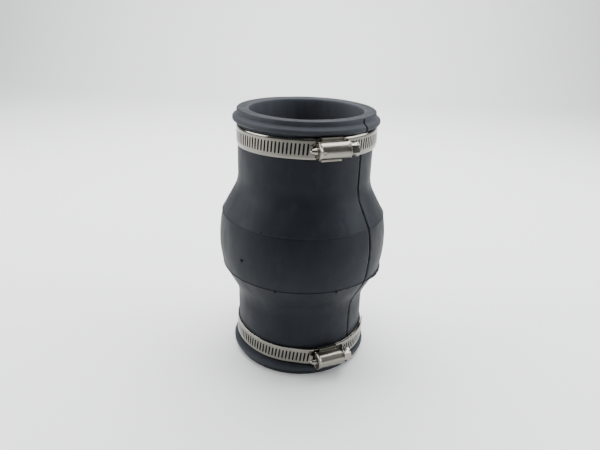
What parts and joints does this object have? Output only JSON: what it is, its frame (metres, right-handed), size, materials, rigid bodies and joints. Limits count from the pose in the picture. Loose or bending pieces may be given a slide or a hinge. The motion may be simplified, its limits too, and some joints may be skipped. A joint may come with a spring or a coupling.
{
  "type": "rubber expansion joint",
  "caption": "Single-arch rubber expansion joint whose plain clamp ends slip over two pipe stubs and are held by worm-drive hose clamps.",
  "frame": {"origin": "on the flow axis, in the plane of the lower end face", "axes": "+Z along the flow axis from the lower end to the upper end, -Y towards the side the clamp housings face"},
  "size_m": [0.1172, 0.1172, 0.1786],
  "materials": {
    "outer_rubber": "satin moulded",
    "inner_rubber": "satin",
    "cord_fabric": "rubbered nylon cord",
    "band_steel": "bright cold rolled",
    "housing_steel": "bright pressed",
    "screw_steel": "machined"
  },
  "bodies": {
    "lower_cuff": {"lower_cuff_cover": "outer_rubber", "lower_cuff_outer_ply": "cord_fabric", "lower_cuff_inner_ply": "cord_fabric", "lower_cuff_liner": "inner_rubber"},
    "lower_flank": {"lower_flank_cover": "outer_rubber", "lower_flank_outer_ply": "cord_fabric", "lower_flank_inner_ply": "cord_fabric", "lower_flank_liner": "inner_rubber"},
    "belt": {"belt_cover": "outer_rubber", "belt_outer_ply": "cord_fabric", "belt_inner_ply": "cord_fabric", "belt_liner": "inner_rubber"},
    "upper_flank": {"upper_flank_cover": "outer_rubber", "upper_flank_outer_ply": "cord_fabric", "upper_flank_inner_ply": "cord_fabric", "upper_flank_liner": "inner_rubber"},
    "upper_cuff": {"upper_cuff_cover": "outer_rubber", "upper_cuff_outer_ply": "cord_fabric", "upper_cuff_inner_ply": "cord_fabric", "upper_cuff_liner": "inner_rubber"},
    "lower_clamp": {"lower_band_loop": "band_steel", "lower_saddle": "housing_steel", "lower_housing": "housing_steel"},
    "lower_tail": {"lower_band_tail": "band_steel"},
    "lower_screw": {"lower_worm_screw": "screw_steel"},
    "upper_clamp": {"upper_band_loop": "band_steel", "upper_saddle": "housing_steel", "upper_housing": "housing_steel"},
    "upper_tail": {"upper_band_tail": "band_steel"},
    "upper_screw": {"upper_worm_screw": "screw_steel"}
  },
  "joints": [
    {"name": "lower_axial_stroke", "type": "slide", "parent": "lower_cuff", "child": "lower_flank", "axis": [0, 0, 1], "range_m": [-0.0065, 0.0035], "stiffness_N_per_m": 60000, "deforming": ["lower_flank_cover", "lower_flank_outer_ply", "lower_flank_inner_ply", "lower_flank_liner"]},
    {"name": "lateral_offset", "type": "slide", "parent": "lower_flank", "child": "belt", "axis": [1, 0, 0], "range_m": [-0.011, 0.011], "stiffness_N_per_m": 55000},
    {"name": "angular_deflection", "type": "hinge", "parent": "belt", "child": "upper_flank", "pos_m": [0, 0, 0.0893], "axis": [0, 1, 0], "range_deg": [-15, 15], "stiffness_Nm_per_rad": 90, "deforming": ["upper_flank_cover", "upper_flank_outer_ply", "upper_flank_inner_ply", "upper_flank_liner"]},
    {"name": "upper_axial_stroke", "type": "slide", "parent": "upper_flank", "child": "upper_cuff", "axis": [0, 0, 1], "range_m": [-0.0065, 0.0035], "stiffness_N_per_m": 60000},
    {"name": "lower_clamp_turn", "type": "hinge", "parent": "lower_cuff", "child": "lower_clamp", "pos_m": [0, 0, 0.0179], "axis": [0.0262, -0.0493, 0.9984], "continuous": true},
    {"name": "lower_screw_turn", "type": "hinge", "parent": "lower_clamp", "child": "lower_screw", "pos_m": [0.02172, -0.04661, 0.01503], "axis": [-0.9063, -0.4226, 0.0029], "range_deg": [0, 1080]},
    {"name": "lower_tail_draw", "type": "hinge", "parent": "lower_clamp", "child": "lower_tail", "pos_m": [0, 0, 0.0179], "axis": [0.0262, -0.0493, 0.9984], "range_deg": [0, 9.03]},
    {"name": "upper_clamp_turn", "type": "hinge", "parent": "upper_cuff", "child": "upper_clamp", "pos_m": [0, 0, 0.16235], "axis": [-0.0192, 0, 0.9998], "continuous": true},
    {"name": "upper_screw_turn", "type": "hinge", "parent": "upper_clamp", "child": "upper_screw", "pos_m": [0.01665, -0.04838, 0.16267], "axis": [-0.9454, -0.3255, -0.0182], "range_deg": [0, 1080]},
    {"name": "upper_tail_draw", "type": "hinge", "parent": "upper_clamp", "child": "upper_tail", "pos_m": [0, 0, 0.16235], "axis": [-0.0192, 0, 0.9998], "range_deg": [0, 9.1]}
  ],
  "couplings": [
    {"joint": "upper_axial_stroke", "follows": "lower_axial_stroke", "ratio": 1},
    {"joint": "lower_tail_draw", "follows": "lower_screw_turn", "ratio": 0.0083546},
    {"joint": "upper_tail_draw", "follows": "upper_screw_turn", "ratio": 0.0084129}
  ]
}
